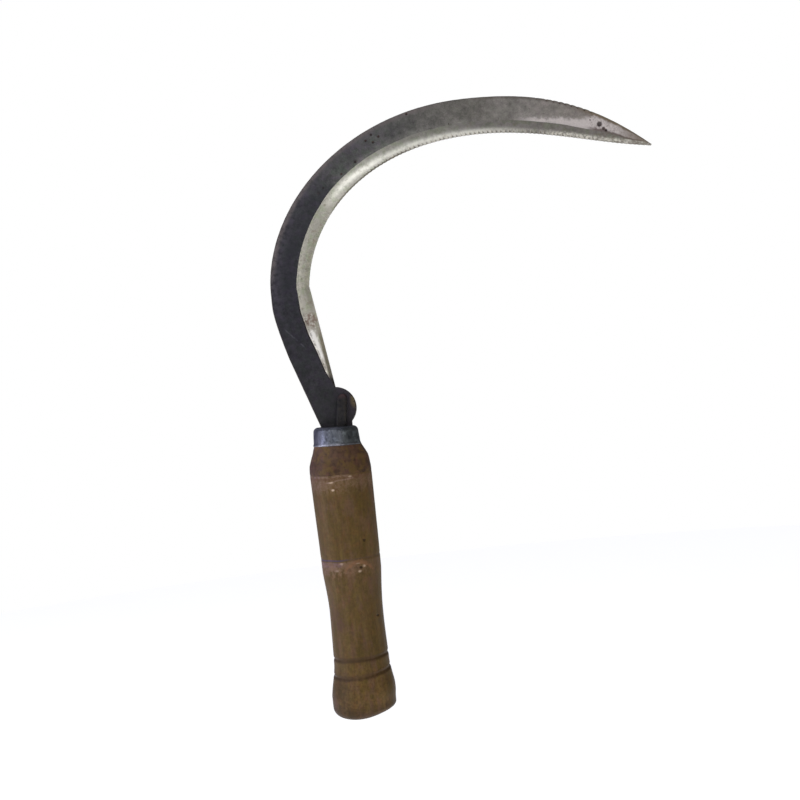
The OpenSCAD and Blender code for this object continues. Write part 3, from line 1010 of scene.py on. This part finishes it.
def make_tang():
    rings = []
    for z in np.linspace(SPIKE_LOW, FERRULE_TOP - 0.4, 60):
        x, share = spike_size(z)
        rings.append(box_ring(z, x, share * TANG_W, share * TANG_D, 6))
    lap_r = TANG_W / 2
    straight = LAP_H - lap_r
    rings += [lap_ring(straight * i / 30, 1.0) for i in range(30)]
    for a in np.radians(np.linspace(0, 86, 25)):
        rings.append(lap_ring(straight + lap_r * math.sin(a), math.cos(a)))
    points = [p for ring in rings for p in ring]
    rise = [max(0, (z - FERRULE_TOP) / LAP_H) for _, _, z in points]
    return new_piece("tang_bar", points, skin_faces(len(rings), TANG_AROUND), [tang_steel()],
                     values={"rise": rise}, sharp_angle=50)


# ---------------- ferrule

def rim_round(radius, steps):
    """Round between the cup's wall and its top, from the wall up."""
    middle = np.array([CUP_TOP_R - CUP_ROUND, FERRULE_TOP - CUP_ROUND])
    return [middle + radius * unit(a) for a in np.linspace(0, math.pi / 2, steps)]


def cup_profile():
    """Section of the drawn cup as (radius, z, rim), rim being the share of painted highlight: a rolled lip,
    a wall, a turned-in top and the hole.
    """
    wall_r = CUP_LOW_R - 0.3
    wall_low, wall_high = FERRULE_LOW + CUP_LIP + 0.4, FERRULE_TOP - CUP_ROUND
    outer = [(CUP_LOW_R - 0.5, FERRULE_LOW, 0), (CUP_LOW_R - 0.12, FERRULE_LOW + 0.05, 0.4),
             (CUP_LOW_R, FERRULE_LOW + 0.22, 1), (CUP_LOW_R, FERRULE_LOW + 0.6, 1),
             (CUP_LOW_R - 0.1, FERRULE_LOW + CUP_LIP, 0.9), (wall_r, wall_low, 0)]
    for t in np.linspace(0, 1, 14)[1:-1]:
        outer.append((wall_r + (CUP_TOP_R - wall_r) * t, wall_low + (wall_high - wall_low) * t, 0))
    outer += [(r, z, 0.35 if 4 < i < 9 else 0) for i, (r, z) in enumerate(rim_round(CUP_ROUND, 12))]
    outer += [(HOLE_R + 1.5, FERRULE_TOP, 0), (HOLE_R + 0.25, FERRULE_TOP, 0.3),
              (HOLE_R, FERRULE_TOP - 0.2, 0.2), (HOLE_R, WOOD_TOP, 0)]
    inner = [(r, z, 0) for r, z in reversed(rim_round(CUP_ROUND - CUP_WALL, 6))]
    return outer + inner + [(CUP_LOW_R - CUP_WALL, FERRULE_LOW, 0)]


def seat_tilt(x, z):
    """How far the worn seat lifts the ferrule above the CAD's level one, more on the back's side."""
    lift = (SEAT_LIFT - SEAT_TILT * x) * smooth(57, 66, z)
    return lift + SEAT_SHORT * smooth(57, 65, z) * smooth(76, 68, z)


def make_ferrule():
    profile = cup_profile()
    points, rim = [], []
    for a in turns(AROUND):
        c, s = math.cos(a), math.sin(a)
        for radius, z, bright in profile:
            worn = 0.05 * (1 + wave(7, 3 * c, 3 * s, z / 5))
            facet = 0.035 * (1 + wave(8, 9 * c, 9 * s, z / 14))
            r = radius - (worn + facet if radius > HOLE_R + 2 and z < FERRULE_TOP - 0.1 else 0)
            points.append((r * c, r * s, z + seat_tilt(r * c, z)))
            # rim: share of the painted highlight on the rims
            rim.append(bright * (0.65 + 0.35 * wave(9, 4 * c, 4 * s)))
    faces = skin_faces(AROUND, len(profile), ring_of_rings=True)
    return new_piece("ferrule_cup", points, faces, [dull_zinc()], values={"rim": rim}, sharp_angle=40)


# ---------------- handle

def grip_profile():
    """Turned outline from the shoulder down to the butt's rounding, as (radius, z)."""
    band_top = BUTT + BUTT_ROUND + BAND_LEN
    curves = [
        ([(SHOULDER_R - 0.15, FERRULE_LOW), (13.6, FERRULE_LOW - 3.5), (SWELL_R, FERRULE_LOW - 7),
          (SWELL_R, 52)], 36),
        ([(SWELL_R, 52), (SWELL_R - 0.2, 38), (14.9, 20), (14.65, 6)], 60),
        ([(14.65, 6), (14.4, 1.5), (WAIST_R, -6.5), (WAIST_R, -15)], 36),
        ([(WAIST_R, -15), (WAIST_R, -24), (13.65, -33), (13.85, -40.5)], 60),
        ([(13.85, -40.5), (14.1, -45), (BUTT_R - 0.3, band_top + 4), (BUTT_R, band_top)], 50),
    ]
    outline = [(SHOULDER_R, FERRULE_LOW)]
    for points, steps in curves:
        outline += [bezier(points, i / steps) for i in range(1, steps + 1)]
    return outline + [(BUTT_R, band_top - BAND_LEN * i / 8) for i in range(1, 8)]


def above_ring(ring, c, s, z):
    """Height of a point above a tilted ring."""
    return z - ring[0] - ring[1] * c - ring[2] * s


def shoulder_wear(c, z):
    """Depth worn off the shoulder below the ferrule, uneven from side to side as c runs from -1 to 1."""
    return abs(c) * np.interp(z, *(BACK_WEAR if c < 0 else EDGE_WEAR))


def bow(z):
    """How far the handle's middle bends towards the edge side."""
    return float(np.mean(np.interp([z - 4, z - 2, z, z + 2, z + 4], *BOW)))


def groove_shade(c, s, z):
    """How near a point is to the middle of a scribed groove, from 0 beyond its stain to 1."""
    nearest = 0.0
    for ring in GROOVES:
        off = abs(above_ring(ring, c, s, z) - 0.2 * wave(10, RING_WAVES * c, RING_WAVES * s, ring[0]))
        nearest = max(nearest, 1 - off / GROOVE_STAIN)
    return nearest


def front_marks(x, z):
    """Depth of the specks and flecks at a place of the front, and how far into a speck it is."""
    depth, speck = 0.0, 0.0
    for at_x, at_z, size, deep in SPECKS:
        q = 1 - ((x - at_x) ** 2 + ((z - at_z) / 0.8) ** 2) / size ** 2
        speck = max(speck, q * min(1, 4 * deep))
        depth += deep * smooth(0, 1, q)
    for at_x, at_z, half_x, half_z, strength in PALE_FLECKS:
        q = 1 - ((x - at_x) / half_x) ** 2 - ((z - at_z) / half_z) ** 2
        depth += 0.1 * strength * smooth(0, 1, q)
    return depth, speck


def grip_point(angle, radius, z):
    """Point of the grip's surface as (x, y, z, scribe, speck, upper, lower)."""
    c, s = math.cos(angle), math.sin(angle)
    x, y = radius * c, radius * s
    scribe = groove_shade(c, s, z)
    upper = above_ring(UPPER_RING, c, s, z) - 0.35 * wave(12, RING_WAVES * c, RING_WAVES * s)
    lower = above_ring(LOWER_RING, c, s, z) - 0.35 * wave(11, RING_WAVES * c, RING_WAVES * s)
    drop = GROOVE_DEPTH * smooth(1 - GROOVE_HALF / GROOVE_STAIN, 1, scribe)
    drop += 0.16 * math.exp(-((lower - 0.3) / 0.5) ** 2) + 0.1 * math.exp(-((upper - 0.5) / 0.6) ** 2)
    drop += 0.05 * (1 + wave(13, x / 7, y / 7, z / 22)) + 0.02 * (1 + wave(14, x / 1.3, y / 1.3, z / 30))
    drop += BUTT_WEAR * smooth(-50, -60, z) * smooth(0, 1, c) + shoulder_wear(c, z)
    depth, speck = front_marks(x, z) if y < 0 else (0.0, 0.0)
    r = radius - drop - depth
    return (r * c + bow(z), r * s, z + seat_tilt(r * c, z), scribe, speck, upper, lower)


def socket_ring(z):
    """Ring of the burnt-in socket round the tang."""
    x, share = spike_size(z)
    half_w = share * TANG_W / 2 + SEAT_GAP
    half_d = share * TANG_D / 2 + SEAT_GAP
    ring = []
    for j in range(AROUND):
        a = 2 * math.pi * (j + 0.5) / AROUND
        c, s = math.cos(a), math.sin(a)
        r = min(half_w / max(abs(c), 1e-6), half_d / max(abs(s), 1e-6))
        ring.append((x + r * c, r * s, z, 1.0, 0.0, *UNDER_CUP))
    return ring


def tenon_ring(radius, z, gap=0.0, scribe=0.0):
    """Ring of the tenon, tilted with the ferrule and clear of it by a gap."""
    ring = []
    for x, y in (radius * unit(a) for a in turns(AROUND)):
        share = 1 - gap / radius
        ring.append((x * share, y * share, z + seat_tilt(x, z), scribe, 0.0, *UNDER_CUP))
    return ring


def butt_lift(x):
    """How far the worn end stands above the CAD's flat butt at a place across it."""
    return 0.35 + 1.3 * smooth(-7, 15, x)


def butt_rings(steps):
    """Rings round the butt's rounding. Its end is worn up towards the edge side."""
    rings = []
    for i in range(1, steps + 1):
        a = math.radians(90 * i / steps)
        ring = []
        for angle in turns(AROUND):
            side = smooth(-0.3, 1, math.cos(angle))
            r = BUTT_R - (BUTT_ROUND + 2.5 * side) * (1 - math.cos(a))
            z = BUTT + BUTT_ROUND - (BUTT_ROUND - butt_lift(r * math.cos(angle))) * math.sin(a)
            ring.append((*grip_point(angle, r, z)[:2], z, 0.0, 0.0, *ON_BUTT))
        rings.append(ring)
    return rings


def end_ring(rim, share):
    """Ring of the butt's end, a share of the size of its rim."""
    return [(x * share, y * share, BUTT + butt_lift(x * share), 0.0, 0.0, *ON_BUTT) for x, y, *_ in rim]


def make_handle():
    rings = [socket_ring(z) for z in np.linspace(SPIKE_LOW - 0.05, WOOD_TOP, 30)]
    rings += [tenon_ring(radius, WOOD_TOP, scribe=0.2) for radius in (7, 8.4)]
    rings += [tenon_ring(r, z, SEAT_GAP) for r, z in reversed(rim_round(CUP_ROUND - CUP_WALL, 6))]
    rings.append(tenon_ring(CUP_LOW_R - CUP_WALL, FERRULE_LOW, SEAT_GAP))
    rings += [[grip_point(a, radius, z) for a in turns(AROUND)] for radius, z in grip_profile()]
    rings += butt_rings(14)
    rim = rings[-1]
    rings += [end_ring(rim, share) for share in (0.6, 0.2)]
    points = [p[:3] for ring in rings for p in ring]
    values = point_values(rings, ["scribe", "speck", "upper", "lower"])
    faces = skin_faces(len(rings), AROUND)
    return new_piece("grip_wood", points, faces, [cane_wood()], values=values, sharp_angle=55)


# ---------------- studio

def floor_white():
    n = Paint("floor_white")
    n.base = n.levels(n.noise(0.002, 2), [(0.0, 0.9), (1.0, 0.94)])
    return n.finish(Roughness=0.8, Specular_IOR_Level=0.1, Emission_Color=(1, 1, 1, 1),
                    Emission_Strength=0.8)


def make_floor():
    """White disc well below the handle, drawn as rings with a closed middle."""
    points = [(radius * math.cos(a), radius * math.sin(a), BUTT - FLOOR_DROP)
              for radius in FLOOR_RADII for a in turns(FLOOR_AROUND)]
    without_lid = skin_faces(len(FLOOR_RADII), FLOOR_AROUND)[:-1]
    new_piece("studio_floor", points, without_lid, [floor_white()])


def soft_light(name, place, target, size, power, colour):
    """Rectangular lamp that faces a target."""
    data = bpy.data.lights.new(name, "AREA")
    data.shape = "RECTANGLE"
    data.size, data.size_y = size
    data.energy = power
    data.color = colour
    light = bpy.data.objects.new(name, data)
    light.location = place
    light.rotation_euler = (Vector(target) - Vector(place)).to_track_quat("-Z", "Y").to_euler()
    bpy.context.scene.collection.objects.link(light)


def make_world():
    """White to the camera. What the object mirrors is a dim room, cooler on its left."""
    world = bpy.data.worlds.new("studio")
    bpy.context.scene.world = world
    n = Nodes(world)
    x = n.parts(n.add("TexCoord").outputs["Generated"])[0]
    side = n.add("MapRange", {"Value": x, "From Min": -1.0}).outputs["Result"]
    glow = n.ramp(side, [(0.0, (0.62, 0.66, 0.86, 1)), (1.0, (0.2, 0.18, 0.14, 1))])
    room = n.add("Background", {"Color": glow, "Strength": 0.4}).outputs[0]
    white = n.add("Background", {"Color": (1, 1, 1, 1)}).outputs[0]
    seen = n.add("LightPath").outputs["Is Camera Ray"]
    n.add("OutputWorld", {"Surface": n.add("MixShader", {0: seen, 1: room, 2: white}).outputs[0]})


def make_camera():
    """Camera at the photograph's angle: level, and turned about its line of sight."""
    data = bpy.data.cameras.new("camera")
    data.lens = CAMERA_LENS
    data.sensor_width = 36
    camera = bpy.data.objects.new("camera", data)
    camera.matrix_world = (
        Matrix.Translation(CAMERA_AT)
        @ Euler((math.radians(90), 0, 0)).to_matrix().to_4x4()
        @ Matrix.Rotation(math.radians(CAMERA_ROLL), 4, "Z")
    )
    bpy.context.scene.collection.objects.link(camera)
    bpy.context.scene.camera = camera


def make_studio():
    make_floor()
    make_world()
    middle = (0.03, 0, 0.09)
    curve = (0.1, 0, 0.2)
    soft_light("key", (-0.5, -1.3, 0.9), middle, (0.9, 0.9), 5, (1.0, 0.98, 0.95))
    soft_light("left", (-1.1, -0.35, 0.3), middle, (0.7, 0.9), 5, (0.86, 0.9, 1.0))
    soft_light("right_front", (0.75, -1.6, 0.25), curve, (0.6, 0.7), 3.5, (1.0, 0.97, 0.92))
    bpy.context.scene.view_settings.view_transform = "Standard"
    bpy.context.scene.view_settings.look = "None"


# ---------------- assembly

make_camera()
pieces = [
    (make_blade(), "blade", "blade_steel"),
    (make_tang(), "tang", "tang_steel"),
    (make_ferrule(), "ferrule", "ferrule_zinc"),
    (make_handle(), "handle", "handle_wood"),
]
for piece, node_name, slot_name in pieces:
    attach(piece, "root")
    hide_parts(node_name)
make_studio()
